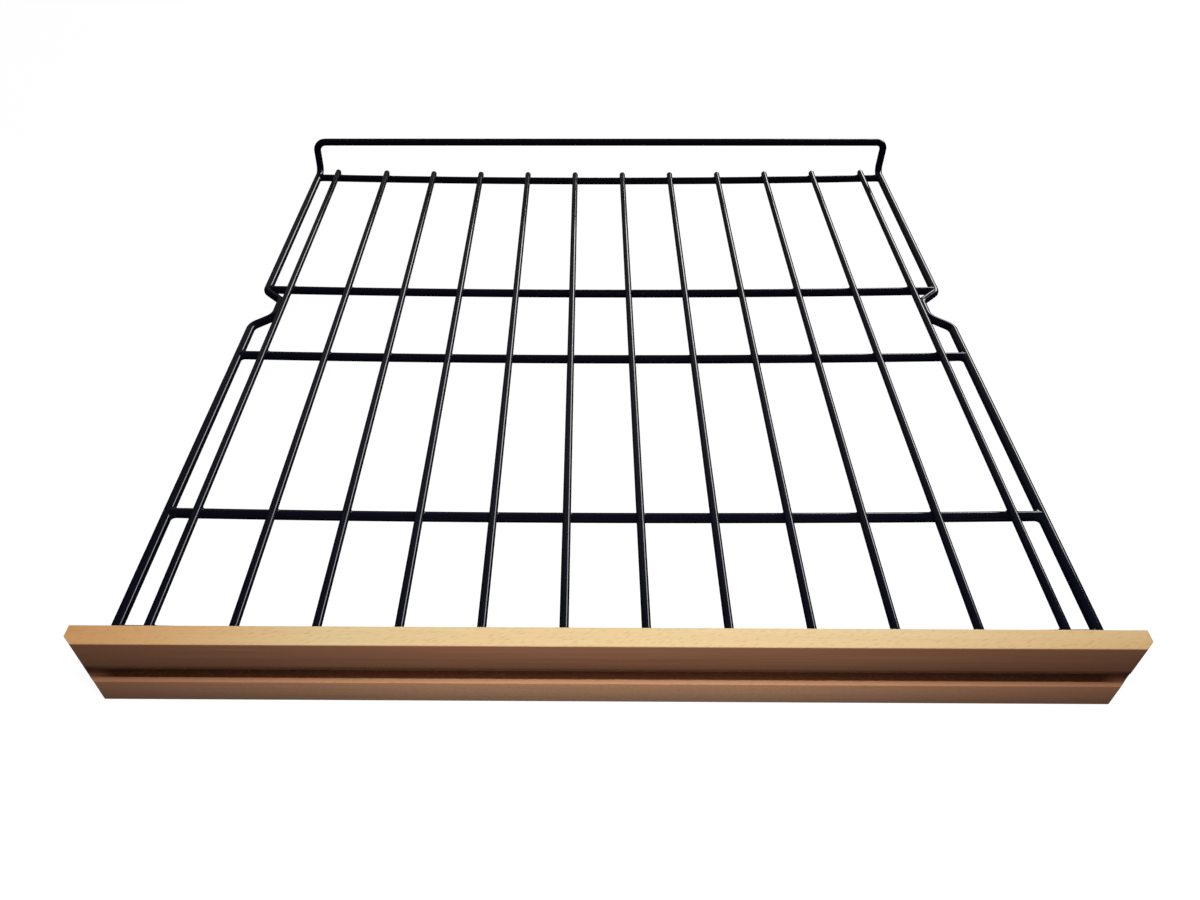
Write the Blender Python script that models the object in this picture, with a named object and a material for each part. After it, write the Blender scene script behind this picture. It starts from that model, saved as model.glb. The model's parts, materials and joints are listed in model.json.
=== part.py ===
"""Pull-out wire shelf for a wine cabinet: a welded deck of coated wires behind a beech front board.

Frame: metres, +Z up, +X across the width, the board at -Y and the stop bar at +Y.
The origin is the middle of the footprint, at the height of the board's underside.
"""
import math

import bmesh
import bpy
from mathutils import Matrix, Vector

GAP = 0.0003                # clearance kept between pieces that touch
FRAME_SIDES = 14            # facets round the frame wire
WIRE_SIDES = 12             # facets round the other wires and the pilot holes
SCREW_SIDES = 14
HOLE_SIDES = 16

BOARD_WIDTH = 0.534
BOARD_HEIGHT = 0.050
BOARD_THICK = 0.0115
BOARD_CHAMFER = 0.0045      # 45 degree chamfer on the board's front upright corners
BOARD_EDGE_R = 0.0006       # eased long edges
BOARD_ABOVE_DECK = 0.012    # board top above the rails' centre plane

LIP_TOP = 0.017             # top of the lower lip above the underside
LIP_LAND = 0.0025           # thickness of that lip at its top
GROOVE_DEPTH = 0.0046
GROOVE_BOTTOM = 0.0140      # lowest point of the pocket behind the lip
GROOVE_EASE_R = 0.010       # radius that rolls the upper face into the groove
GROOVE_EASE_TOP = 0.0316    # where that radius starts, above the underside
GROOVE_EASE_SHORT = 0.0006  # the radius stops this much short of the full depth

RAIL_SPAN = 0.500           # centre to centre of the two side rails
RAIL_R = 0.0030
RAIL_BEND_R = 0.0065        # bends at the stop bar's four corners
STOP_BAR_RISE = 0.028       # stop bar's centre above the rails' centre plane
STOP_BAR_BACK = 0.5028      # distances behind the board's back face
REAR_CROSS_BACK = 0.4914
NOTCH_CROSS_BACK = 0.3140
MIDDLE_CROSS_BACK = 0.2340
FORWARD_CROSS_BACK = 0.0865

NOTCH_DEPTH = 0.0137        # inward jog of each rail
NOTCH_START = 0.0020        # corner points of the jog, measured forward from the notch cross wire
NOTCH_FLOOR_START = 0.0150
NOTCH_FLOOR_END = 0.0345
NOTCH_END = 0.0463
NOTCH_RADII = (0.007, 0.006, 0.012, 0.009)

CROSS_R = 0.0030
DECK_DIP = 0.0030           # how much lower the cross wires are at mid-span than at the rails

BOTTLE_WIRES = 12
BOTTLE_R = 0.0024
LANE = 0.0418               # pitch of the bottle wires
OUTER_LANE_EXTRA = 0.0011   # the two outermost lanes are this much wider
STUB = 0.0026               # bottle wires run this far past the rear cross wire's centre
DOME_TURNS = (0, 30, 55, 75)    # degrees round a bottle wire's domed end at which it has a ring

TAB_LANES = (-5, -2, 2, 5)  # lanes, counted from the middle one, that hold a fixing tab
TAB_WIDTH = 0.014
TAB_THICK = 0.0015
TAB_FOOT = 0.002            # tab's lower edge above the board's underside
TAB_ABOVE_WIRE = 0.0015     # tab's upper edge above the front cross wire's centre
TAB_HOLE_R = 0.0021
TAB_CORNER_R = 0.003

SCREW_HEIGHT = 0.0075       # screw axis above the board's underside
SCREW_R = 0.00175
SCREW_CORE_R = 0.00125
SCREW_IN_WOOD = 0.0080
SCREW_PITCH = 0.0013
SCREW_POINT = 0.0025        # length of the pointed end
SCREW_TIP_R = 0.00015
SCREW_HEAD_R = 0.0035
SCREW_HEAD_H = 0.0022
SCREW_HEAD_TURNS = (80, 62, 42, 20)     # degrees up the head's dome, from its middle to its rim
RECESS_WIDTH = 0.0009
RECESS_LENGTH = 0.0036
RECESS_DEPTH = 0.0012

DECK_Z = BOARD_HEIGHT - BOARD_ABOVE_DECK
DEPTH = BOARD_THICK + STOP_BAR_BACK + RAIL_R
BOARD_FRONT_Y = -DEPTH / 2
BOARD_BACK_Y = BOARD_FRONT_Y + BOARD_THICK
FRONT_CROSS_BACK = GAP + TAB_THICK + GAP + CROSS_R
RAIL_X = RAIL_SPAN / 2


def clear_scene():
    for thing in list(bpy.data.objects):
        bpy.data.objects.remove(thing, do_unlink=True)


def principled(name, colour, roughness, metallic=0.0):
    material = bpy.data.materials.new(name)
    material.use_nodes = True
    shader = material.node_tree.nodes["Principled BSDF"]
    shader.inputs["Base Color"].default_value = (*colour, 1.0)
    shader.inputs["Roughness"].default_value = roughness
    shader.inputs["Metallic"].default_value = metallic
    return material


def black_coating(name):
    return principled(name + "_coating", (0.012, 0.012, 0.014), 0.3)


def beech(name):
    return principled(name + "_beech", (0.62, 0.42, 0.22), 0.5)


def zinc(name):
    return principled(name + "_zinc", (0.62, 0.62, 0.60), 0.35, 1.0)


def add_object(name, mesh, material):
    obj = bpy.data.objects.new(name, mesh)
    bpy.context.collection.objects.link(obj)
    mesh.materials.append(material)
    return obj


def mesh_from(bm, name, smooth_below=40):
    bmesh.ops.recalc_face_normals(bm, faces=bm.faces)
    mesh = bpy.data.meshes.new(name)
    bm.to_mesh(mesh)
    bm.free()
    mesh.shade_smooth()
    mesh.set_sharp_from_angle(angle=math.radians(smooth_below))
    return mesh


def cut(obj, cutter):
    """Subtract cutter from obj with a live Boolean."""
    cutter.hide_render = True
    cutter.display_type = "WIRE"
    boolean = obj.modifiers.new("cut_" + cutter.name, "BOOLEAN")
    boolean.operation = "DIFFERENCE"
    boolean.solver = "EXACT"
    boolean.object = cutter


def arc(centre, radius, start_deg, end_deg, steps):
    """Points of a flat arc, both ends included."""
    points = []
    for step in range(steps + 1):
        angle = math.radians(start_deg + (end_deg - start_deg) * step / steps)
        points.append((centre[0] + radius * math.cos(angle), centre[1] + radius * math.sin(angle)))
    return points


def rounded_path(corners, radii, steps=5):
    """A path through corners, each inner corner replaced by an arc of its own radius."""
    corners = [Vector(corner) for corner in corners]
    path = [corners[0]]
    for before, corner, after, radius in zip(corners, corners[1:], corners[2:], radii):
        back = (before - corner).normalized()
        ahead = (after - corner).normalized()
        half = back.angle(ahead) / 2
        centre = corner + (back + ahead).normalized() * radius / math.sin(half)
        start = corner + back * radius / math.tan(half) - centre
        end = corner + ahead * radius / math.tan(half) - centre
        path += [centre + radius * start.slerp(end, step / steps) for step in range(steps + 1)]
    return path + [corners[-1]]


def skin(bm, rings):
    """Join neighbouring rings of vertices with faces and close both ends."""
    for ring, following in zip(rings, rings[1:]):
        for side in range(len(ring)):
            after = (side + 1) % len(ring)
            bm.faces.new((ring[side], ring[after], following[after], following[side]))
    bm.faces.new(rings[0][::-1])
    bm.faces.new(rings[-1])


def tube(path, radii, sides, name):
    """A closed round bar along path, with one radius for each point."""
    bm = bmesh.new()
    rings = []
    tangent = (path[1] - path[0]).normalized()
    across = tangent.orthogonal().normalized()
    for index, (point, radius) in enumerate(zip(path, radii)):
        before = path[max(index - 1, 0)]
        after = path[min(index + 1, len(path) - 1)]
        heading = (after - before).normalized()
        across.rotate(tangent.rotation_difference(heading))
        tangent = heading
        up = tangent.cross(across)
        ring = []
        for side in range(sides):
            angle = 2 * math.pi * side / sides
            ring.append(bm.verts.new(point + radius * (math.cos(angle) * across + math.sin(angle) * up)))
        rings.append(ring)
    skin(bm, rings)
    return mesh_from(bm, name)


def turned(middle, places, radii, sides, name):
    """A closed shape turned about a line along Y, whose places may double back at a shoulder."""
    bm = bmesh.new()
    rings = []
    for place, radius in zip(places, radii):
        ring = []
        for side in range(sides):
            angle = 2 * math.pi * side / sides
            out = Vector((math.cos(angle), 0, math.sin(angle)))
            ring.append(bm.verts.new(middle + Vector((0, place, 0)) + radius * out))
        rings.append(ring)
    skin(bm, rings)
    return mesh_from(bm, name, 30)


def sweep_flat(bm, outline, reach):
    """Extrude a flat closed outline by the vector reach."""
    face = bm.faces.new([bm.verts.new(point) for point in outline])
    swept = bmesh.ops.extrude_face_region(bm, geom=[face])
    moved = [item for item in swept["geom"] if isinstance(item, bmesh.types.BMVert)]
    bmesh.ops.translate(bm, verts=moved, vec=reach)


def dip(x):
    """Height of a cross wire's centre at x, above the rails' centre plane."""
    return -DECK_DIP * (1 - (x / RAIL_X) ** 2)


def bottle_wire_x(index):
    place = index - (BOTTLE_WIRES - 1) / 2
    outermost = index in (0, BOTTLE_WIRES - 1)
    return place * LANE + (math.copysign(OUTER_LANE_EXTRA, place) if outermost else 0)


def frame_path():
    """Centreline of the one wire that makes both rails, both uprights and the stop bar."""
    rear = BOARD_BACK_Y + STOP_BAR_BACK
    notch = BOARD_BACK_Y + NOTCH_CROSS_BACK
    inner = RAIL_X - NOTCH_DEPTH
    right_side = [
        (RAIL_X, BOARD_BACK_Y + GAP, DECK_Z),
        (RAIL_X, notch - NOTCH_END, DECK_Z),
        (inner, notch - NOTCH_FLOOR_END, DECK_Z),
        (inner, notch - NOTCH_FLOOR_START, DECK_Z),
        (RAIL_X, notch - NOTCH_START, DECK_Z),
        (RAIL_X, rear, DECK_Z),
        (RAIL_X, rear, DECK_Z + STOP_BAR_RISE),
    ]
    left_side = [(-x, y, z) for x, y, z in reversed(right_side)]
    bends = [*reversed(NOTCH_RADII), RAIL_BEND_R, RAIL_BEND_R]
    return rounded_path(right_side + left_side, bends + bends[::-1])


def make_frame_wire():
    """Make the frame wire, and return the slightly fatter copy that the cross wires are cut with."""
    path = frame_path()
    mesh = tube(path, [RAIL_R] * len(path), FRAME_SIDES, "frame_wire")
    frame = add_object("frame_wire", mesh, black_coating("frame_wire"))
    fatter = tube(path, [RAIL_R + GAP] * len(path), FRAME_SIDES, "frame_wire_cutter")
    return add_object("frame_wire_cutter", fatter, frame.active_material)


def make_cross_wire(name, back, frame_cutter):
    """A dipped wire whose ends are cut to butt against the insides of the rails."""
    y = BOARD_BACK_Y + back
    stations = [-RAIL_X]
    stations += [bottle_wire_x(index) for index in range(BOTTLE_WIRES)]
    stations += [RAIL_X]
    path = [Vector((x, y, DECK_Z + dip(x))) for x in stations]
    mesh = tube(path, [CROSS_R] * len(path), WIRE_SIDES, name)
    cut(add_object(name, mesh, black_coating(name)), frame_cutter)


def make_bottle_wire(index):
    """A straight wire lying on the cross wires, with a domed end past the rear one."""
    name = f"bottle_wire_{index + 1:02d}"
    x = bottle_wire_x(index)
    z = DECK_Z + dip(x) + CROSS_R + GAP + BOTTLE_R
    front = BOARD_BACK_Y + 2 * GAP
    rear = BOARD_BACK_Y + REAR_CROSS_BACK + STUB
    path = [Vector((x, front, z))]
    radii = [BOTTLE_R]
    for turn in DOME_TURNS:
        angle = math.radians(turn)
        path.append(Vector((x, rear - BOTTLE_R * (1 - math.sin(angle)), z)))
        radii.append(BOTTLE_R * math.cos(angle))
    add_object(name, tube(path, radii, WIRE_SIDES, name), black_coating(name))


def board_profile():
    """The board's section as (y, z), y from its front face and z from its underside."""
    ease = BOARD_EDGE_R
    roll_depth = GROOVE_DEPTH - GROOVE_EASE_SHORT
    roll_end = math.degrees(math.acos(1 - roll_depth / GROOVE_EASE_R))
    outline = arc((BOARD_THICK - ease, ease), ease, -90, 0, 2)
    outline += arc((BOARD_THICK - ease, BOARD_HEIGHT - ease), ease, 0, 90, 2)
    outline += arc((ease, BOARD_HEIGHT - ease), ease, 90, 180, 2)
    outline += arc((GROOVE_EASE_R, GROOVE_EASE_TOP), GROOVE_EASE_R, 180, 180 + roll_end, 6)
    pocket_r = (GROOVE_DEPTH - LIP_LAND) / 2
    pocket_z = GROOVE_BOTTOM + pocket_r
    outline.append((GROOVE_DEPTH, GROOVE_EASE_TOP - GROOVE_EASE_R))
    outline += arc((GROOVE_DEPTH - pocket_r, pocket_z), pocket_r, 0, -180, 5)
    outline.append((LIP_LAND, LIP_TOP))
    outline.append((ease / 2, LIP_TOP))
    outline.append((0.0, LIP_TOP - ease / 2))
    outline += arc((ease, ease), ease, 180, 270, 2)
    return outline


def make_board():
    """Extrude the section, chamfer the front corners and drill the blind pilot holes."""
    bm = bmesh.new()
    half = BOARD_WIDTH / 2
    section = [(-half, BOARD_FRONT_Y + y, z) for y, z in board_profile()]
    sweep_flat(bm, section, (BOARD_WIDTH, 0, 0))
    for side in (-1, 1):
        corner = Vector((side * half, BOARD_FRONT_Y + BOARD_CHAMFER, 0))
        everything = bm.verts[:] + bm.edges[:] + bm.faces[:]
        sliced = bmesh.ops.bisect_plane(bm, geom=everything, plane_co=corner,
                                        plane_no=(side, -1, 0), clear_outer=True)
        rim = [item for item in sliced["geom_cut"] if isinstance(item, bmesh.types.BMEdge)]
        bmesh.ops.edgenet_fill(bm, edges=rim)
    board = add_object("front_board", mesh_from(bm, "front_board", 25), beech("front_board"))
    drill = (BOARD_BACK_Y - SCREW_IN_WOOD - GAP, BOARD_BACK_Y + GAP)
    for number, x in enumerate(tab_places(), 1):
        path = [Vector((x, y, SCREW_HEIGHT)) for y in drill]
        pilot = tube(path, [SCREW_R + GAP] * 2, WIRE_SIDES, "pilot")
        cut(board, add_object(f"pilot_cutter_{number}", pilot, board.active_material))


def tab_places():
    """The x of each fixing tab: the middle of its lane, so the tab clears the bottle wires."""
    places = []
    for lane in TAB_LANES:
        left_wire = lane + BOTTLE_WIRES // 2 - 1
        places.append((bottle_wire_x(left_wire) + bottle_wire_x(left_wire + 1)) / 2)
    return places


def make_fixing_tab(number, x):
    """A flat strip welded to the front cross wire and hanging behind the board, with a screw hole."""
    name = f"fixing_tab_{number}"
    low = TAB_FOOT
    high = DECK_Z + dip(x) + TAB_ABOVE_WIRE
    half = TAB_WIDTH / 2
    turn = TAB_CORNER_R
    outline = [(x + half, high), (x - half, high)]
    outline += arc((x - half + turn, low + turn), turn, 180, 270, 4)
    outline += arc((x + half - turn, low + turn), turn, 270, 360, 4)
    bm = bmesh.new()
    front = BOARD_BACK_Y + GAP
    sweep_flat(bm, [(px, front, pz) for px, pz in outline], (0, TAB_THICK, 0))
    tab = add_object(name, mesh_from(bm, name), black_coating(name))
    reach = [Vector((x, front + y, SCREW_HEIGHT)) for y in (-GAP, TAB_THICK + GAP)]
    hole = tube(reach, [TAB_HOLE_R] * 2, HOLE_SIDES, "hole")
    cut(tab, add_object(name + "_cutter", hole, tab.active_material))


def screw_profile():
    """Distances behind the head's seat, negative into the wood, with the radius at each."""
    profile = []
    for turn in SCREW_HEAD_TURNS:
        angle = math.radians(turn)
        profile.append((SCREW_HEAD_H * math.sin(angle), SCREW_HEAD_R * math.cos(angle)))
    profile += [(0.0, SCREW_HEAD_R), (0.0, SCREW_CORE_R)]
    reach = 2 * GAP + TAB_THICK + SCREW_IN_WOOD
    ridge = TAB_THICK
    while ridge + SCREW_PITCH < reach - SCREW_POINT:
        profile += [(-ridge, SCREW_CORE_R), (-ridge - SCREW_PITCH / 2, SCREW_R)]
        ridge += SCREW_PITCH
    return profile + [(-ridge, SCREW_CORE_R), (GAP - reach, SCREW_TIP_R)]


def make_screw(number, x):
    """A pan-head wood screw, driven from behind through the tab, with a cross recess."""
    name = f"wood_screw_{number}"
    seat = BOARD_BACK_Y + GAP + TAB_THICK + GAP
    places, radii = zip(*screw_profile())
    mesh = turned(Vector((x, seat, SCREW_HEIGHT)), places, radii, SCREW_SIDES, name)
    screw = add_object(name, mesh, zinc(name))
    blade_size = Matrix.Diagonal((RECESS_LENGTH, 2 * RECESS_DEPTH, RECESS_WIDTH, 1.0))
    head_top = Matrix.Translation((x, seat + SCREW_HEAD_H, SCREW_HEIGHT))
    for turn in (0, 90):
        spun = head_top @ Matrix.Rotation(math.radians(turn), 4, "Y")
        bm = bmesh.new()
        bmesh.ops.create_cube(bm, size=1.0, matrix=spun @ blade_size)
        blade = add_object(f"{name}_recess_{turn}", mesh_from(bm, "recess"), screw.active_material)
        cut(screw, blade)


def main():
    clear_scene()
    frame_cutter = make_frame_wire()
    make_cross_wire("cross_wire_rear", REAR_CROSS_BACK, frame_cutter)
    make_cross_wire("cross_wire_notch", NOTCH_CROSS_BACK, frame_cutter)
    make_cross_wire("cross_wire_middle", MIDDLE_CROSS_BACK, frame_cutter)
    make_cross_wire("cross_wire_forward", FORWARD_CROSS_BACK, frame_cutter)
    make_cross_wire("cross_wire_front", FRONT_CROSS_BACK, frame_cutter)
    for index in range(BOTTLE_WIRES):
        make_bottle_wire(index)
    for number, x in enumerate(tab_places(), 1):
        make_fixing_tab(number, x)
        make_screw(number, x)
    make_board()


main()
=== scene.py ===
"""Looks of a pull-out wine cabinet shelf: coated steel wires behind a beech front board.

Metres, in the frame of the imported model: +X right, +Y away from the board, +Z up.
"""
import json
import math
import random

import bmesh
import bpy
from mathutils import Matrix, Vector, noise


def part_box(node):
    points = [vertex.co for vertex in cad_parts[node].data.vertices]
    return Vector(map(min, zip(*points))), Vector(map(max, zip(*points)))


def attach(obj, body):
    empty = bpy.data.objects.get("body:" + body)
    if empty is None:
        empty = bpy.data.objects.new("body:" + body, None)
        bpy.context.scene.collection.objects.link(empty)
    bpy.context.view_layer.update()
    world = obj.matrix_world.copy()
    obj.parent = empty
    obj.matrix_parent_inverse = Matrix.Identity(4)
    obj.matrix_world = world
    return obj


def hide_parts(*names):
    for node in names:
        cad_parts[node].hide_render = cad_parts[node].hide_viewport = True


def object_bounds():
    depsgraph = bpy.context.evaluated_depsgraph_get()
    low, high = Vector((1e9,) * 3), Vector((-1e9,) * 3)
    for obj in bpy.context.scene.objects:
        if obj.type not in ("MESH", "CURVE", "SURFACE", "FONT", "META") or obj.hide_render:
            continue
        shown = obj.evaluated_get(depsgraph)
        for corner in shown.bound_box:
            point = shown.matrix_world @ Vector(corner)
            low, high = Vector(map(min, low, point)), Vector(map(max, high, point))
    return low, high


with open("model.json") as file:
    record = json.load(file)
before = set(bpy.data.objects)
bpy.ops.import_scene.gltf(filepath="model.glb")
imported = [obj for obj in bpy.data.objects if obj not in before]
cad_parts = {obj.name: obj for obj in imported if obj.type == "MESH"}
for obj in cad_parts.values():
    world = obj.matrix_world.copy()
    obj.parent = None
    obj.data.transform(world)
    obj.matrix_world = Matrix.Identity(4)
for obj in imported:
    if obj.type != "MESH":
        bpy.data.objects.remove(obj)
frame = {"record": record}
cad_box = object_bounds()

GAP = 0.0003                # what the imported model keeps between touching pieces

RAIL_R = 0.0030
CROSS_R = 0.0030
BOTTLE_R = 0.0024
WIRE_SIDES = 32

STOP_BEND_R = 0.0065        # bends at the raised bar's corners
LEFT_BEND_R = 0.0085        # its upper left one is rounder, and leans in
LEFT_LEAN = 0.0012
NOTCH_DEPTH = 0.0137        # the rails' jog, and how far its corners are ahead of its cross wire
NOTCH_CORNERS = (0.0020, 0.0150, 0.0345, 0.0463)
NOTCH_RADII = (0.007, 0.006, 0.012, 0.009)
BEND_STEPS = 12
DOME_SWEEP = math.radians(86)
DOME_STEPS = 7              # of the bottle wires' rear ends

FILLET_SIDES = 40           # the coating's meniscus in each welded corner
FILLET_STEPS = 6
FILLET_SPREAD = 0.0017      # how far it creeps out past the crossing wire
BUTT_SPREAD = 0.0030        # and where a cross wire meets a rail
FRONT_BUTT_SPREAD = 0.0012  # less at the front wire, close behind the board
FILLET_WRAP = math.radians(60)
FILLET_WAIST = 0.5          # how far from the weld's middle its hollow sides pass, in wire radii
FILLET_POLE = 0.3           # its ends close inside the wires, this many radii from their axes
SUNK = 0.97                 # share of a wire's radius at which a fillet's rim is buried

BOARD_CHAMFER = 0.0045
BOARD_EDGE_R = 0.0006
BOARD_RIM_R = 0.0004
LIP_TOP = 0.017
LIP_LAND = 0.0025
GROOVE_DEPTH = 0.0046
GROOVE_BOTTOM = 0.0140
GROOVE_EASE_R = 0.010
GROOVE_EASE_TOP = 0.0316
GROOVE_EASE_SHORT = 0.0006
LIP_WAVER = 0.00006         # how far the lip's front edge wanders, and its torn rear edge
LIP_TEAR = 0.00022
FIBRE_R = 0.00022           # a torn fibre's thickness at its root and at its tip, as radii
FIBRE_TIP_R = 0.00002

TAB_CORNER_R = 0.003
TAB_EDGE_R = 0.0003
TAB_HOLE_R = 0.0021
SCREW_HEIGHT = 0.0075       # screw axis above the board's underside
SCREW_R = 0.00175
SCREW_CORE_R = 0.00125
SCREW_PITCH = 0.0013
SCREW_POINT = 0.0025
SCREW_HEAD_R = 0.0035
SCREW_HEAD_H = 0.0022
SCREW_DOME = math.radians(80)
RECESS_RIM = (0.0004, 0.0040, 0.0010)       # cross recess: depth, length and width at its rim
RECESS_FLOOR = (-0.0013, 0.0022, 0.0006)    # and at its bottom
WELD_REACH = 0.0016         # how far a tab's weld bead spreads past the wire
WELD_STEPS = 20

CAMERA_TURN = (-0.65, 43.56, 0.27)          # yaw, downward pitch and roll, in degrees
CAMERA_STAND = (-0.0094, -0.2709, 0.3907)   # from the board's back and the deck

mounts = {mount["name"]: mount for mount in frame["record"]["mounts"]}
rail_line = Vector(mounts["rail_underside"]["pos_m"])
RAIL_X = abs(rail_line.x)
DECK_Z = rail_line.z + RAIL_R

low, high = cad_box
board_low, board_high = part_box("front_board")
BOARD_BACK = board_high.y
STOP_BAR_Y = high.y - RAIL_R
STOP_BAR_Z = high.z - RAIL_R


def node_middle(node):
    corner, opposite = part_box(node)
    return (corner + opposite) / 2


CROSS_WIRES = {name: node_middle("cross_wire_" + name).y
               for name in ("rear", "notch", "middle", "forward", "front")}
BOTTLE_WIRES = [f"bottle_wire_{number:02d}" for number in range(1, 13)]
BOTTLE_AXES = {name: node_middle(name) for name in BOTTLE_WIRES}
WIRE_RISE = CROSS_R + GAP + BOTTLE_R
inner_wire = BOTTLE_AXES["bottle_wire_06"]
DECK_DIP = (DECK_Z + WIRE_RISE - inner_wire.z) / (1 - (inner_wire.x / RAIL_X) ** 2)


# ---------------------------------------------------------------- camera

def place_camera():
    """A wide lens, in front of the board and above it, looking down across the rack."""
    yaw, pitch, roll = (math.radians(angle) for angle in CAMERA_TURN)
    ahead = Vector((math.sin(yaw) * math.cos(pitch), math.cos(yaw) * math.cos(pitch),
                    -math.sin(pitch)))
    level = Vector((math.cos(yaw), -math.sin(yaw), 0))
    right = math.cos(roll) * level + math.sin(roll) * ahead.cross(level)
    up = right.cross(ahead)
    data = bpy.data.cameras.new("camera")
    data.sensor_width = 36
    data.lens = 27.69
    data.shift_x = 0.01695
    camera = bpy.data.objects.new("camera", data)
    bpy.context.collection.objects.link(camera)
    across, ahead_of_back, above_deck = CAMERA_STAND
    stand = Vector((across, BOARD_BACK + ahead_of_back, DECK_Z + above_deck))
    turned = Matrix((right, up, -ahead)).transposed().to_4x4()
    camera.matrix_world = Matrix.Translation(stand) @ turned
    bpy.context.scene.camera = camera


# ---------------------------------------------------------------- materials

def new_material(name):
    material = bpy.data.materials.new(name)
    material.use_nodes = True
    tree = material.node_tree
    return material, tree, tree.nodes["Principled BSDF"]


def feed(tree, socket, value):
    """Give a socket its value, or link another node's output to it."""
    if isinstance(value, bpy.types.NodeSocket):
        tree.links.new(value, socket)
    else:
        socket.default_value = value


def node(tree, kind, settings=None, **inputs):
    """Add a node. An input is a value or an output, and _ stands for a space in its name."""
    made = tree.nodes.new(kind)
    for key, value in (settings or {}).items():
        setattr(made, key, value)
    for name, value in inputs.items():
        feed(tree, made.inputs[name.replace("_", " ")], value)
    return made


def stretched(tree, scale, turn=0):
    """Object coordinates, scaled differently along each axis, then turned about Z."""
    place = node(tree, "ShaderNodeTexCoord")
    mapping = node(tree, "ShaderNodeMapping", Vector=place.outputs["Object"],
                   Rotation=(0, 0, turn), Scale=scale)
    return mapping.outputs["Vector"]


def noise_of(tree, vector, scale, detail=2.0, roughness=0.5):
    made = node(tree, "ShaderNodeTexNoise", Vector=vector, Scale=scale,
                Detail=detail, Roughness=roughness)
    return made.outputs["Fac"]


def ranged(tree, value, low_in, high_in, low_out, high_out):
    """Carry value's range low_in to high_in over to low_out to high_out, and hold it at both ends."""
    made = node(tree, "ShaderNodeMapRange", Value=value, From_Min=low_in, From_Max=high_in,
                To_Min=low_out, To_Max=high_out)
    return made.outputs["Result"]


def maths(tree, operation, first, second=0.5):
    made = node(tree, "ShaderNodeMath", {"operation": operation})
    feed(tree, made.inputs[0], first)
    feed(tree, made.inputs[1], second)
    return made.outputs["Value"]


def vector_maths(tree, operation, first, second):
    made = node(tree, "ShaderNodeVectorMath", {"operation": operation})
    feed(tree, made.inputs[0], first)
    feed(tree, made.inputs[1], second)
    return made.outputs["Vector"]


def mixed(tree, share, first, second):
    """Mix two colours, each three numbers or an output."""
    made = node(tree, "ShaderNodeMix", {"data_type": "RGBA"})
    feed(tree, made.inputs["Factor"], share)
    colours = [socket for socket in made.inputs if socket.type == "RGBA"]
    for socket, value in zip(colours, (first, second)):
        feed(tree, socket, (*value, 1) if isinstance(value, tuple) else value)
    return next(socket for socket in made.outputs if socket.type == "RGBA")


def tinted(tree, colour, mask, strength, tint):
    """A colour drawn towards a tint, at most by strength, where the mask is 1."""
    return mixed(tree, maths(tree, "MULTIPLY", mask, strength), colour, tint)


def coating_material():
    """Smooth black coating with a navy cast and a faint ripple, a little duller in patches."""
    material, tree, shader = new_material("black_coating")
    place = stretched(tree, (1, 1, 1))
    tint = noise_of(tree, place, 45, 3)
    feed(tree, shader.inputs["Base Color"],
         mixed(tree, tint, (0.0022, 0.0024, 0.0068), (0.0045, 0.0050, 0.0125)))
    patches = noise_of(tree, place, 90, 3)
    feed(tree, shader.inputs["Roughness"], ranged(tree, patches, 0.35, 0.65, 0.11, 0.17))
    shader.inputs["Specular IOR Level"].default_value = 0.45
    ripple = noise_of(tree, place, 160, 2)
    bump = node(tree, "ShaderNodeBump", Strength=0.05, Distance=0.0003, Height=ripple)
    feed(tree, shader.inputs["Normal"], bump.outputs["Normal"])
    return material


def fleck_mask(tree, place, share, strongest):
    """Short dark dashes: the stretched cells' centres, of which only a share is kept."""
    cells = node(tree, "ShaderNodeTexVoronoi", {"feature": "F1"}, Vector=place,
                 Scale=1.0, Randomness=1.0)
    near = ranged(tree, cells.outputs["Distance"], 0.02, 0.46, 1, 0)
    split = node(tree, "ShaderNodeSeparateColor", Color=cells.outputs["Color"])
    kept = maths(tree, "LESS_THAN", split.outputs["Red"], share)
    weight = ranged(tree, split.outputs["Green"], 0, 1, 0.3 * strongest, strongest)
    return maths(tree, "MULTIPLY", maths(tree, "MULTIPLY", near, kept), weight)


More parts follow.
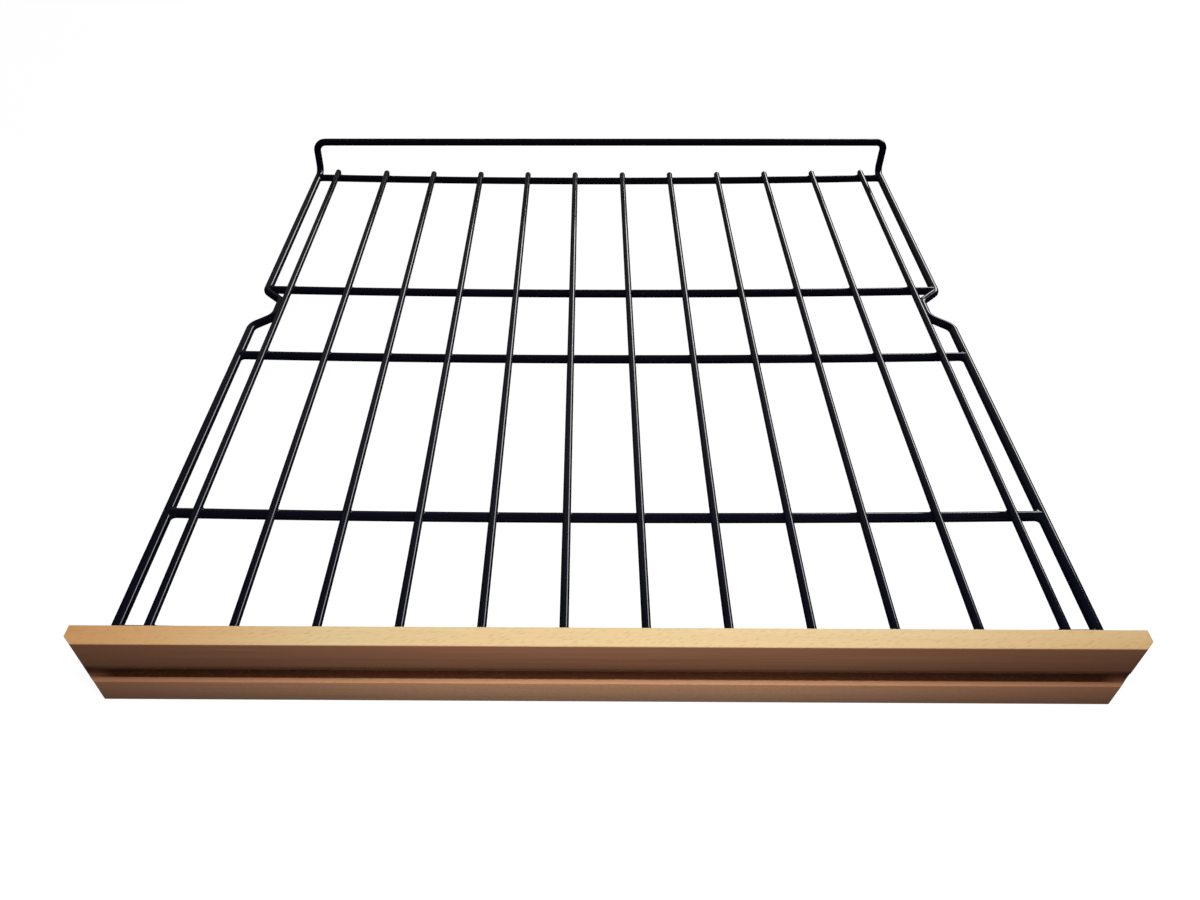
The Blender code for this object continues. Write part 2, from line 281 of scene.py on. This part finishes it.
def beech_zones(tree):
    """Masks, 0 to 1, for each of the board's surfaces and for places along it, several of them marking
    painted light and shade.
    """
    where = node(tree, "ShaderNodeTexCoord")
    facing = node(tree, "ShaderNodeSeparateXYZ", Vector=where.outputs["Normal"]).outputs
    at = node(tree, "ShaderNodeSeparateXYZ", Vector=where.outputs["Object"]).outputs
    from_middle = maths(tree, "ABSOLUTE", at["X"])
    upward = ranged(tree, facing["Z"], 0.35, 0.85, 0, 1)
    # Painted shade in the groove's recess, weaker near the open ends where light gets in.
    shade_in_groove = ranged(tree, at["Y"], board_low.y + 0.0007, board_low.y + 0.0030, 0, 1)
    for limit in (ranged(tree, at["Z"], 0.036, 0.031, 0, 1),
                  maths(tree, "SUBTRACT", 1, upward),
                  ranged(tree, facing["Y"], -0.1, 0.1, 1, 0),
                  ranged(tree, from_middle, 0.264, 0.254, 0.2, 1)):
        shade_in_groove = maths(tree, "MULTIPLY", shade_in_groove, limit)
    at_top = ranged(tree, at["Z"], 0.046, 0.049, 0, 1)
    return {
        "upward": upward,
        "endward": ranged(tree, maths(tree, "ABSOLUTE", facing["X"]), 0.45, 0.60, 0, 1),
        "on_top": maths(tree, "MULTIPLY", upward, at_top),
        "on_lip": ranged(tree, at["Z"], LIP_TOP + 0.0002, LIP_TOP + 0.0010, 1, 0),
        # Painted bounce light: the lip is paler near the floor.
        "bounce_lit_low_down": ranged(tree, at["Z"], 0.001, 0.015, 1, 0),
        "shade_in_groove": shade_in_groove,
        # Painted shade: the face darkens downwards towards the groove.
        "shade_over_groove": ranged(tree, at["Z"], 0.040, 0.031, 0, 0.45),
        # Painted light falloff on the top: duller towards the ends, most at the left, leaving a
        # brighter middle as painted sheen.
        "falloff_leftward": ranged(tree, at["X"], -0.27, -0.14, 1, 0),
        "falloff_near_end": ranged(tree, from_middle, 0.13, 0.27, 0, 1),
        # Painted light falloff: face, lip and groove darken towards both ends.
        "outward": ranged(tree, from_middle, 0.08, 0.27, 0, 1),
    }


def beech_figure(tree):
    """The wood's own pattern: streaks and fine fibres along the board, and soft clouds."""
    warp = noise_of(tree, stretched(tree, (9, 40, 40)), 1.0, 2)
    along = vector_maths(tree, "ADD", stretched(tree, (7, 420, 420)), warp)
    streaks = ranged(tree, noise_of(tree, along, 1.0, 5, 0.6), 0.32, 0.68, 0, 1)
    fibres = noise_of(tree, stretched(tree, (90, 3200, 3200)), 1.0, 3, 0.6)
    clouds = ranged(tree, noise_of(tree, stretched(tree, (22, 90, 90)), 1.0, 3), 0.35, 0.65, 0, 1)
    return streaks, fibres, clouds


def beech_material():
    """Planed beech, one wood coloured as lit and shaded copies: a pale top partly lifted by painted
    light, a darker, redder front face as painted shade, a paler lip as painted light, pores on the
    ends.

    Long faint streaks run along the board, with short dark ray flecks between them.
    """
    material, tree, shader = new_material("beech")
    zone = beech_zones(tree)
    streaks, fibres, clouds = beech_figure(tree)

    # Painted shade: the front face is coloured darker and redder than the same wood on top.
    face = mixed(tree, streaks, (0.46, 0.198, 0.106), (0.56, 0.272, 0.162))
    face = tinted(tree, face, clouds, 0.50, (0.56, 0.222, 0.120))
    # Painted shade above the groove.
    face = mixed(tree, zone["shade_over_groove"], face, (0.30, 0.115, 0.060))
    # Painted light falloff towards the ends.
    face = tinted(tree, face, zone["outward"], 0.5, (0.24, 0.110, 0.062))
    # Painted light: the lip's front is coloured paler than the face above it, and its upward land is
    # tinted back darker and yellower for the light it gets.
    lip = mixed(tree, streaks, (0.84, 0.424, 0.234), (0.94, 0.504, 0.296))
    lip = tinted(tree, lip, zone["upward"], 0.55, (0.56, 0.285, 0.130))
    # Painted bounce light, paler towards the bottom.
    lip = tinted(tree, lip, zone["bounce_lit_low_down"], 0.5, (0.88, 0.560, 0.375))
    # Painted light falloff towards the ends.
    lip = tinted(tree, lip, zone["outward"], 0.5, (0.26, 0.060, 0.040))
    # The top's pale tone is partly painted light; its clouds are the wood's own tone.
    top = mixed(tree, streaks, (0.72, 0.535, 0.262), (0.80, 0.625, 0.345))
    top = tinted(tree, top, clouds, 0.6, (0.80, 0.560, 0.300))
    # Painted light falloff and painted sheen along the top.
    top = tinted(tree, top, zone["falloff_near_end"], 0.58, (0.74, 0.440, 0.150))
    top = tinted(tree, top, zone["falloff_leftward"], 0.50, (0.73, 0.270, 0.080))
    # Painted shade: the groove's dark colour, darker again towards both ends.
    groove = mixed(tree, zone["outward"], (0.150, 0.048, 0.022), (0.060, 0.012, 0.003))

    colour = mixed(tree, zone["on_lip"], face, lip)
    # Painted shade laid into the groove.
    colour = tinted(tree, colour, zone["shade_in_groove"], 0.92, groove)
    colour = mixed(tree, zone["on_top"], colour, top)
    colour = mixed(tree, ranged(tree, fibres, 0.3, 0.7, 0.0, 0.16), colour, (0.40, 0.20, 0.10))
    slanted = stretched(tree, (1, 1, 1), math.radians(-18))
    flecks = fleck_mask(tree, vector_maths(tree, "MULTIPLY", slanted, (200, 1150, 1150)), 0.75, 0.60)
    colour = mixed(tree, flecks, colour, (0.46, 0.24, 0.105))
    pores = fleck_mask(tree, stretched(tree, (1500, 2600, 2600)), 0.6, 0.8)
    end_grain = mixed(tree, clouds, (0.36, 0.19, 0.10), (0.43, 0.24, 0.13))
    end_grain = mixed(tree, pores, end_grain, (0.17, 0.08, 0.04))
    colour = mixed(tree, zone["endward"], colour, end_grain)

    feed(tree, shader.inputs["Base Color"], colour)
    feed(tree, shader.inputs["Roughness"], ranged(tree, streaks, 0, 1, 0.52, 0.42))
    shader.inputs["Specular IOR Level"].default_value = 0.35
    relief = maths(tree, "SUBTRACT", maths(tree, "MULTIPLY", fibres, 0.5), flecks)
    bump = node(tree, "ShaderNodeBump", Strength=0.3, Distance=0.00008, Height=relief)
    feed(tree, shader.inputs["Normal"], bump.outputs["Normal"])
    return material


def zinc_material():
    """Bright zinc plating with faint cloudy patches."""
    material, tree, shader = new_material("zinc")
    cloud = noise_of(tree, stretched(tree, (1, 1, 1)), 700, 3)
    feed(tree, shader.inputs["Base Color"], mixed(tree, cloud, (0.50, 0.51, 0.54), (0.68, 0.67, 0.63)))
    feed(tree, shader.inputs["Roughness"], ranged(tree, cloud, 0.3, 0.7, 0.22, 0.40))
    shader.inputs["Metallic"].default_value = 1.0
    return material


def floor_material():
    """Like a light table: matt, faintly mottled and lit through from below."""
    material, tree, shader = new_material("pale_floor")
    mottle = noise_of(tree, stretched(tree, (1, 1, 1)), 3, 2)
    feed(tree, shader.inputs["Base Color"],
         mixed(tree, mottle, (0.19, 0.19, 0.19), (0.21, 0.21, 0.21)))
    shader.inputs["Roughness"].default_value = 0.9
    shader.inputs["Specular IOR Level"].default_value = 0.0
    shader.inputs["Emission Color"].default_value = (1, 1, 1, 1)
    shader.inputs["Emission Strength"].default_value = 0.92
    return material


# ---------------------------------------------------------------- mesh helpers

def piece_from(bm, name, material, nodes, smooth_below=40):
    """Make an object of bm, give it its finish and let it stand for its CAD nodes."""
    bmesh.ops.recalc_face_normals(bm, faces=bm.faces)
    mesh = bpy.data.meshes.new(name)
    bm.to_mesh(mesh)
    bm.free()
    mesh.shade_smooth()
    mesh.set_sharp_from_angle(angle=math.radians(smooth_below))
    mesh.materials.append(material)
    piece = bpy.data.objects.new(name, mesh)
    bpy.context.collection.objects.link(piece)
    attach(piece, "root")
    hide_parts(*nodes)
    return piece


def rounded_path(corners, radii, steps):
    """A path through corners, each inner corner replaced by an arc of its own radius."""
    corners = [Vector(corner) for corner in corners]
    path = [corners[0]]
    for before, corner, after, radius in zip(corners, corners[1:], corners[2:], radii):
        back = (before - corner).normalized()
        onward = (after - corner).normalized()
        half = back.angle(onward) / 2
        centre = corner + (back + onward).normalized() * radius / math.sin(half)
        start = corner + back * radius / math.tan(half) - centre
        end = corner + onward * radius / math.tan(half) - centre
        path += [centre + radius * start.slerp(end, step / steps) for step in range(steps + 1)]
    return path + [corners[-1]]


def join_rings(bm, rings):
    """Faces between each ring of vertices and the next."""
    for ring, following in zip(rings, rings[1:]):
        for side in range(len(ring)):
            after = (side + 1) % len(ring)
            bm.faces.new((ring[side], ring[after], following[after], following[side]))


def skin(bm, rings):
    """Join neighbouring rings of vertices and close both ends, each with one face."""
    join_rings(bm, rings)
    bm.faces.new(rings[0][::-1])
    bm.faces.new(rings[-1])


def add_tube(bm, path, radii, sides=WIRE_SIDES):
    """A closed round bar along path, with one radius for each point."""
    rings = []
    tangent = (path[1] - path[0]).normalized()
    across = tangent.orthogonal().normalized()
    for index, (point, radius) in enumerate(zip(path, radii)):
        before = path[max(index - 1, 0)]
        after = path[min(index + 1, len(path) - 1)]
        heading = (after - before).normalized()
        across.rotate(tangent.rotation_difference(heading))
        tangent = heading
        up = tangent.cross(across)
        ring = []
        for side in range(sides):
            angle = 2 * math.pi * side / sides
            outward = math.cos(angle) * across + math.sin(angle) * up
            ring.append(bm.verts.new(point + radius * outward))
        rings.append(ring)
    skin(bm, rings)


def add_web(bm, curves, first_pole, last_pole):
    """A closed shell: curves is a list of closed point loops, with a fan to a pole at each end."""
    rings = [[bm.verts.new(point) for point in curve] for curve in curves]
    join_rings(bm, rings)
    for ring, pole in ((rings[0], first_pole), (rings[-1], last_pole)):
        tip = bm.verts.new(pole)
        for side in range(len(ring)):
            bm.faces.new((ring[side], ring[(side + 1) % len(ring)], tip))


def bowed(start, middle, end, share):
    """A point on the quadratic curve that leaves start towards middle and reaches end."""
    rest = 1 - share
    return rest * rest * start + 2 * rest * share * middle + share * share * end


def fillet_curves(points_at):
    """Loops across a fillet. points_at(cosine, sine) gives its start, middle and end points."""
    turns = [2 * math.pi * side / FILLET_SIDES for side in range(FILLET_SIDES)]
    spans = [points_at(math.cos(turn), math.sin(turn)) for turn in turns]
    return [[bowed(*span, step / FILLET_STEPS) for span in spans] for step in range(FILLET_STEPS + 1)]


# ---------------------------------------------------------------- wires

def cross_height(x):
    """Height of the dipped cross wires' axes at x."""
    return DECK_Z - DECK_DIP * (1 - (x / RAIL_X) ** 2)


def add_crossing_fillet(bm, x, y, upper_z, lower_z):
    """Coating drawn into the corner where a bottle wire lies across a cross wire."""

    def points_at(c, s):
        wrap_up, wrap_down = FILLET_WRAP * c, FILLET_WRAP * s
        start = Vector((x + SUNK * BOTTLE_R * math.sin(wrap_up), y + (CROSS_R + FILLET_SPREAD) * s,
                        upper_z - SUNK * BOTTLE_R * math.cos(wrap_up)))
        middle = Vector((x + FILLET_WAIST * BOTTLE_R * c, y + FILLET_WAIST * CROSS_R * s,
                         (upper_z - BOTTLE_R + lower_z + CROSS_R) / 2))
        end = Vector((x + (BOTTLE_R + FILLET_SPREAD) * c, y + SUNK * CROSS_R * math.sin(wrap_down),
                      lower_z + SUNK * CROSS_R * math.cos(wrap_down)))
        return start, middle, end

    add_web(bm, fillet_curves(points_at), Vector((x, y, upper_z - FILLET_POLE * BOTTLE_R)),
            Vector((x, y, lower_z + FILLET_POLE * CROSS_R)))


def add_butt_fillet(bm, side, y, z, spread):
    """Coating drawn round a cross wire's end, where it is welded to the inside of a rail."""

    def points_at(c, s):
        wrap = FILLET_WRAP * s
        rail_face = side * (RAIL_X - SUNK * RAIL_R * math.cos(wrap))
        start = Vector((side * (RAIL_X - RAIL_R - spread), y + SUNK * CROSS_R * c,
                        z + SUNK * CROSS_R * s))
        middle = Vector((rail_face, y + CROSS_R * c, z + SUNK * CROSS_R * s))
        end = Vector((rail_face, y + (CROSS_R + spread) * c,
                      z + SUNK * RAIL_R * math.sin(wrap)))
        return start, middle, end

    add_web(bm, fillet_curves(points_at), Vector((side * (RAIL_X - RAIL_R - spread), y, z)),
            Vector((side * RAIL_X, y, z)))


def frame_path():
    """Centreline of the one wire that makes both rails, both uprights and the raised bar."""
    notch = CROSS_WIRES["notch"]
    near, floor_near, floor_far, far = NOTCH_CORNERS
    inner = RAIL_X - NOTCH_DEPTH
    right_side = [
        (RAIL_X, BOARD_BACK + GAP, DECK_Z),
        (RAIL_X, notch - far, DECK_Z),
        (inner, notch - floor_far, DECK_Z),
        (inner, notch - floor_near, DECK_Z),
        (RAIL_X, notch - near, DECK_Z),
        (RAIL_X, STOP_BAR_Y, DECK_Z),
        (RAIL_X, STOP_BAR_Y, STOP_BAR_Z),
    ]
    left_side = [(-x, y, z) for x, y, z in reversed(right_side)]
    left_side[0] = (LEFT_LEAN - RAIL_X, STOP_BAR_Y, STOP_BAR_Z)
    rear_bends = (STOP_BEND_R, STOP_BEND_R, LEFT_BEND_R, STOP_BEND_R)
    bends = NOTCH_RADII[::-1] + rear_bends + NOTCH_RADII
    return rounded_path(right_side + left_side, bends, BEND_STEPS)


def make_frame_wire(material):
    bm = bmesh.new()
    path = frame_path()
    add_tube(bm, path, [RAIL_R] * len(path))
    piece_from(bm, "coated_frame_wire", material, ["frame_wire"])


def make_cross_wire(name, y, material):
    """One dipped wire with its two welded ends."""
    bm = bmesh.new()
    reach = RAIL_X - GAP
    stations = 48
    path = []
    for station in range(stations + 1):
        x = reach * (2 * station / stations - 1)
        path.append(Vector((x, y, cross_height(x))))
    ends = [CROSS_R * SUNK]
    add_tube(bm, path, ends + [CROSS_R] * (stations - 1) + ends)
    spread = FRONT_BUTT_SPREAD if name == "front" else BUTT_SPREAD
    for side in (-1, 1):
        add_butt_fillet(bm, side, y, cross_height(RAIL_X - RAIL_R), spread)
    piece_from(bm, "coated_cross_wire_" + name, material, ["cross_wire_" + name])


def make_bottle_wire(name, material):
    """A straight wire with a domed rear end, and its welds to the five cross wires."""
    bm = bmesh.new()
    corner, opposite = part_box(name)
    axis = BOTTLE_AXES[name]
    path = [Vector((axis.x, corner.y, axis.z))]
    radii = [BOTTLE_R]
    for step in range(DOME_STEPS + 1):
        angle = DOME_SWEEP * step / DOME_STEPS
        path.append(Vector((axis.x, opposite.y - BOTTLE_R * (1 - math.sin(angle)), axis.z)))
        radii.append(BOTTLE_R * math.cos(angle))
    add_tube(bm, path, radii)
    for y in CROSS_WIRES.values():
        add_crossing_fillet(bm, axis.x, y, axis.z, cross_height(axis.x))
    piece_from(bm, "coated_" + name, material, [name])


# ---------------------------------------------------------------- board

def arc(centre, radius, start_deg, end_deg, steps):
    """Points of a flat arc, both ends included."""
    points = []
    for step in range(steps + 1):
        angle = math.radians(start_deg + (end_deg - start_deg) * step / steps)
        points.append((centre[0] + radius * math.cos(angle), centre[1] + radius * math.sin(angle)))
    return points


def board_profile():
    """The board's section as (y, z), y from its front face and z from its underside."""
    thick = board_high.y - board_low.y
    tall = board_high.z - board_low.z
    ease = BOARD_EDGE_R
    roll_depth = GROOVE_DEPTH - GROOVE_EASE_SHORT
    roll_end = math.degrees(math.acos(1 - roll_depth / GROOVE_EASE_R))
    outline = arc((thick - ease, ease), ease, -90, 0, 4)
    outline += arc((thick - ease, tall - ease), ease, 0, 90, 4)
    outline += arc((ease, tall - ease), ease, 90, 180, 4)
    outline += arc((GROOVE_EASE_R, GROOVE_EASE_TOP), GROOVE_EASE_R, 180, 180 + roll_end, 14)
    pocket_r = (GROOVE_DEPTH - LIP_LAND) / 2
    pocket_z = GROOVE_BOTTOM + pocket_r
    outline.append((GROOVE_DEPTH, GROOVE_EASE_TOP - GROOVE_EASE_R))
    outline += arc((GROOVE_DEPTH - pocket_r, pocket_z), pocket_r, 0, -180, 10)
    outline.append((LIP_LAND, LIP_TOP))
    outline += arc((ease / 2, LIP_TOP - ease / 2), ease / 2, 90, 180, 3)
    outline += arc((ease, ease), ease, 180, 270, 4)
    return outline


def add_plain_board(bm):
    """The section swept along the board in short stations, so that its edges can wander slightly."""
    half = board_high.x
    plain_end = 0.007
    stations = 260
    places = [-half]
    for station in range(stations + 1):
        places.append((half - plain_end) * (2 * station / stations - 1))
    places.append(half)
    profile = board_profile()
    rings = []
    for x in places:
        rings.append([bm.verts.new((x, board_low.y + y, board_low.z + z)) for y, z in profile])
    skin(bm, rings)
    return rings[2:-2], profile


def roughen_lip(rings, profile):
    """The cutter leaves the lip's edges a little uneven."""
    lip = [index for index, (y, z) in enumerate(profile) if abs(z - LIP_TOP) < 1e-6]
    rear_edge = profile.index((LIP_LAND, LIP_TOP))
    for ring in rings:
        for index in lip:
            vertex = ring[index]
            size = LIP_TEAR if index == rear_edge else LIP_WAVER
            vertex.co.z += size * noise.noise(Vector((vertex.co.x * 260, index, 0)))
            vertex.co.y += size * noise.noise(Vector((vertex.co.x * 150, index, 7)))


def chamfer_front_corners(bm):
    """Slice both front corners at 45 degrees, then ease every edge of the two ends."""
    half = board_high.x
    for side in (-1, 1):
        corner = Vector((side * half, board_low.y + BOARD_CHAMFER, 0))
        everything = bm.verts[:] + bm.edges[:] + bm.faces[:]
        sliced = bmesh.ops.bisect_plane(bm, geom=everything, plane_co=corner,
                                        plane_no=(side, -1, 0), clear_outer=True)
        cut_edges = [item for item in sliced["geom_cut"] if isinstance(item, bmesh.types.BMEdge)]
        bmesh.ops.edgenet_fill(bm, edges=cut_edges)
    bmesh.ops.recalc_face_normals(bm, faces=bm.faces)
    bm.normal_update()
    end_faces = [face for face in bm.faces if abs(face.normal.x) > 0.5]
    rim = {edge for face in end_faces for edge in face.edges}
    bmesh.ops.bevel(bm, geom=list(rim), offset=BOARD_RIM_R, offset_type="OFFSET",
                    segments=3, profile=0.5, affect="EDGES", clamp_overlap=True)


def add_torn_fibre(bm, x, length, lift, chance):
    """A splinter lifted off the lip's rear edge: a thin curl that tapers to a point."""
    y = board_low.y + LIP_LAND
    z = board_low.z + LIP_TOP
    steps = 8
    path, radii = [], []
    for step in range(steps + 1):
        share = step / steps
        path.append(Vector((x + length * share, y + 0.0003 * math.sin(3 * share + chance.random()),
                            z - 0.0001 + lift * share * share)))
        radii.append(FIBRE_R * (1 - share) + FIBRE_TIP_R)
    add_tube(bm, path, radii, 8)


def make_board(material):
    bm = bmesh.new()
    rings, profile = add_plain_board(bm)
    roughen_lip(rings, profile)
    chamfer_front_corners(bm)
    chance = random.Random(5)
    half = board_high.x
    for share in (0.02, 0.425, 0.88):
        add_torn_fibre(bm, share * half, 0.0030 + 0.002 * chance.random(), 0.0006, chance)
    piece_from(bm, "beech_front_board", material, ["front_board"], 30)


# ---------------------------------------------------------------- fixings

def make_fixing_tab(number, material):
    """A flat strip with rounded feet, welded along its top to the front cross wire."""
    name = f"fixing_tab_{number}"
    corner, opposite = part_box(name)
    turn = TAB_CORNER_R
    outline = [(opposite.x, opposite.z), (corner.x, opposite.z)]
    outline += arc((corner.x + turn, corner.z + turn), turn, 180, 270, 8)
    outline += arc((opposite.x - turn, corner.z + turn), turn, 270, 360, 8)
    bm = bmesh.new()
    front = [bm.verts.new((x, corner.y, z)) for x, z in outline]
    back = [bm.verts.new((x, opposite.y, z)) for x, z in outline]
    skin(bm, [front, back])
    middle = (corner + opposite) / 2
    tab = piece_from(bm, "coated_" + name, material, [name], 50)
    drill = bmesh.new()
    add_tube(drill, [Vector((middle.x, y, board_low.z + SCREW_HEIGHT))
                     for y in (corner.y - GAP, opposite.y + GAP)], [TAB_HOLE_R] * 2, 40)
    subtract(tab, drill, "tab_hole")
    bevel = tab.modifiers.new("eased_edges", "BEVEL")
    bevel.width = TAB_EDGE_R
    bevel.segments = 3
    bevel.limit_method = "ANGLE"
    apply_modifiers(tab)
    add_tab_welds(middle, opposite, material, number)


def subtract(piece, cutter_bm, name):
    """Cut a closed shape out of a piece for good, and take the shape away."""
    bmesh.ops.recalc_face_normals(cutter_bm, faces=cutter_bm.faces)
    mesh = bpy.data.meshes.new(name)
    cutter_bm.to_mesh(mesh)
    cutter_bm.free()
    cutter = bpy.data.objects.new(name, mesh)
    bpy.context.collection.objects.link(cutter)
    boolean = piece.modifiers.new(name, "BOOLEAN")
    boolean.operation = "DIFFERENCE"
    boolean.solver = "EXACT"
    boolean.object = cutter
    apply_modifiers(piece)
    bpy.data.objects.remove(cutter, do_unlink=True)


def apply_modifiers(piece):
    """Bake a piece's modifiers into its mesh."""
    bpy.context.view_layer.update()
    graph = bpy.context.evaluated_depsgraph_get()
    baked = bpy.data.meshes.new_from_object(piece.evaluated_get(graph))
    piece.modifiers.clear()
    piece.data = baked
    baked.shade_smooth()
    baked.set_sharp_from_angle(angle=math.radians(35))


def add_tab_welds(middle, opposite, material, number):
    """The two weld beads, above and below the wire, that close the corner between wire and tab."""
    wire_y = CROSS_WIRES["front"]
    wire_z = cross_height(middle.x)
    half = (opposite.x - middle.x) * 0.8
    bm = bmesh.new()
    for up in (-1, 1):
        reach = CROSS_R + WELD_REACH
        if up > 0:
            reach = min(reach, opposite.z - wire_z)
        rings = []
        for step in range(WELD_STEPS + 1):
            along = 2 * step / WELD_STEPS - 1
            full = math.sqrt(max(0.0, 1 - along ** 6))
            swell = 0.25 + 0.75 * full
            touch = math.radians(25 + 30 * swell)
            on_tab = Vector((0, opposite.y - 0.0001, up * reach * swell))
            on_wire = Vector((0, wire_y - SUNK * CROSS_R * math.cos(touch),
                              up * SUNK * CROSS_R * math.sin(touch)))
            hollow = Vector((0, (opposite.y + on_wire.y) / 2 - 0.0001, up * CROSS_R * 0.75))
            section = [bowed(on_tab, hollow, on_wire, share / 4) for share in range(5)]
            section.append(Vector((0, wire_y - CROSS_R * 0.5, 0)))
            section.append(Vector((0, opposite.y - 0.0002, 0)))
            shift = Vector((middle.x + half * along, 0, wire_z))
            rings.append([bm.verts.new(shift + point) for point in section])
        skin(bm, rings)
    piece_from(bm, f"weld_{number}", material, [f"fixing_tab_{number}"])


def make_screw(number, material):
    """A pan-head wood screw with a helical thread and a cross recess."""
    name = f"wood_screw_{number}"
    corner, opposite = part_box(name)
    axis = node_middle(name)
    seat = opposite.y - SCREW_HEAD_H
    tip = corner.y
    sides = 40
    rings = []
    bm = bmesh.new()

    def add_ring(y, radius_at):
        ring = []
        for side in range(sides):
            angle = 2 * math.pi * side / sides
            radius = radius_at(angle)
            ring.append(bm.verts.new((axis.x + radius * math.cos(angle), y,
                                      board_low.z + SCREW_HEIGHT + radius * math.sin(angle))))
        rings.append(ring)

    dome_steps = 9
    for step in range(dome_steps):
        angle = SCREW_DOME * (1 - step / dome_steps)
        add_ring(seat + SCREW_HEAD_H * math.sin(angle) / math.sin(SCREW_DOME),
                 lambda _, angle=angle: SCREW_HEAD_R * math.cos(angle) ** 0.7)
    add_ring(seat, lambda _: SCREW_HEAD_R * 0.97)
    add_ring(seat, lambda _: SCREW_CORE_R)
    shank = seat - tip
    slices = 110
    for step in range(1, slices + 1):
        depth = shank * step / slices
        taper = min(1.0, (shank - depth) / SCREW_POINT + 0.06)
        started = min(1.0, max(0.0, depth / SCREW_PITCH - 1.2))

        def radius_at(angle, depth=depth, taper=taper, started=started):
            phase = (depth / SCREW_PITCH + angle / (2 * math.pi)) % 1.0
            ridge = max(0.0, 1 - abs(phase - 0.5) / 0.22)
            return taper * (SCREW_CORE_R + (SCREW_R - SCREW_CORE_R) * ridge * started)

        add_ring(seat - depth, radius_at)
    skin(bm, rings)
    screw = piece_from(bm, "zinc_" + name, material, [name], 35)
    for quarter in (0, 1):
        blade = bmesh.new()
        spin = Matrix.Rotation(math.radians(90 * quarter), 4, "Y")
        top = Matrix.Translation((axis.x, opposite.y, board_low.z + SCREW_HEIGHT)) @ spin
        corners = []
        for depth, length, width in (RECESS_RIM, RECESS_FLOOR):
            for x, z in ((-1, -1), (1, -1), (1, 1), (-1, 1)):
                corners.append(top @ Vector((x * length / 2, depth, z * width / 2)))
        loop = [blade.verts.new(point) for point in corners]
        skin(blade, [loop[:4], loop[4:]])
        subtract(screw, blade, f"recess_{quarter}")


# ---------------------------------------------------------------- studio

def make_floor(material):
    """A large plain floor just under the board."""
    bm = bmesh.new()
    reach = 8.0
    for x, y in ((-reach, -reach), (reach, -reach), (reach, reach), (-reach, reach)):
        bm.verts.new((x, y, low.z - 0.0002))
    bm.faces.new(bm.verts)
    mesh = bpy.data.meshes.new("floor")
    bm.to_mesh(mesh)
    bm.free()
    mesh.materials.append(material)
    floor = bpy.data.objects.new("floor", mesh)
    bpy.context.collection.objects.link(floor)
    floor.visible_diffuse = False
    floor.visible_glossy = False


def add_panel(name, place, aim, width, height, power):
    """A soft rectangular light at place, turned towards aim."""
    data = bpy.data.lights.new(name, "AREA")
    data.shape = "RECTANGLE"
    data.size = width
    data.size_y = height
    data.energy = power
    panel = bpy.data.objects.new(name, data)
    bpy.context.collection.objects.link(panel)
    panel.location = place
    panel.visible_camera = False
    panel.rotation_euler = (Vector(aim) - Vector(place)).to_track_quat("-Z", "Y").to_euler()
    return panel


def light_studio():
    """A dim room under a paler ceiling, a softbox over the board and a long window to the right.

    The wires mirror a dark wall at the camera's side, so they are blackest by the board. Seen
    directly, as above the floor in a level view, the room is a plain pale backdrop.
    """
    world = bpy.data.worlds.new("studio")
    world.use_nodes = True
    tree = world.node_tree
    where = node(tree, "ShaderNodeTexCoord")
    heading = node(tree, "ShaderNodeSeparateXYZ", Vector=where.outputs["Generated"]).outputs
    ray = node(tree, "ShaderNodeLightPath").outputs
    room = ranged(tree, heading["Z"], -0.1, 0.9, 0.04, 0.26)
    dark_wall = ranged(tree, heading["Y"], 0.58, 0.76, 0.12, 1)
    unmirrored = maths(tree, "SUBTRACT", 1, ray["Is Glossy Ray"])
    room = maths(tree, "MULTIPLY", room, maths(tree, "MAXIMUM", dark_wall, unmirrored))
    backdrop = maths(tree, "MULTIPLY", ray["Is Camera Ray"], 0.9)
    background = tree.nodes["Background"].inputs
    background["Color"].default_value = (1.0, 0.99, 0.98, 1)
    feed(tree, background["Strength"], maths(tree, "MAXIMUM", room, backdrop))
    bpy.context.scene.world = world
    softbox = add_panel("softbox", (0.01, -0.375, 0.47), (0.01, -0.25, 0.04), 0.20, 0.20, 1.82)
    softbox.visible_glossy = False
    add_panel("window", (0.98, 1.45, 0.68), (0, 1.00, 0.04), 1.7, 0.42, 19)
    bpy.context.scene.view_settings.view_transform = "Standard"


def main():
    place_camera()
    coating = coating_material()
    make_frame_wire(coating)
    for name, y in CROSS_WIRES.items():
        make_cross_wire(name, y, coating)
    for name in BOTTLE_WIRES:
        make_bottle_wire(name, coating)
    make_board(beech_material())
    zinc = zinc_material()
    for number in range(1, 5):
        make_fixing_tab(number, coating)
        make_screw(number, zinc)
    make_floor(floor_material())
    light_studio()


main()
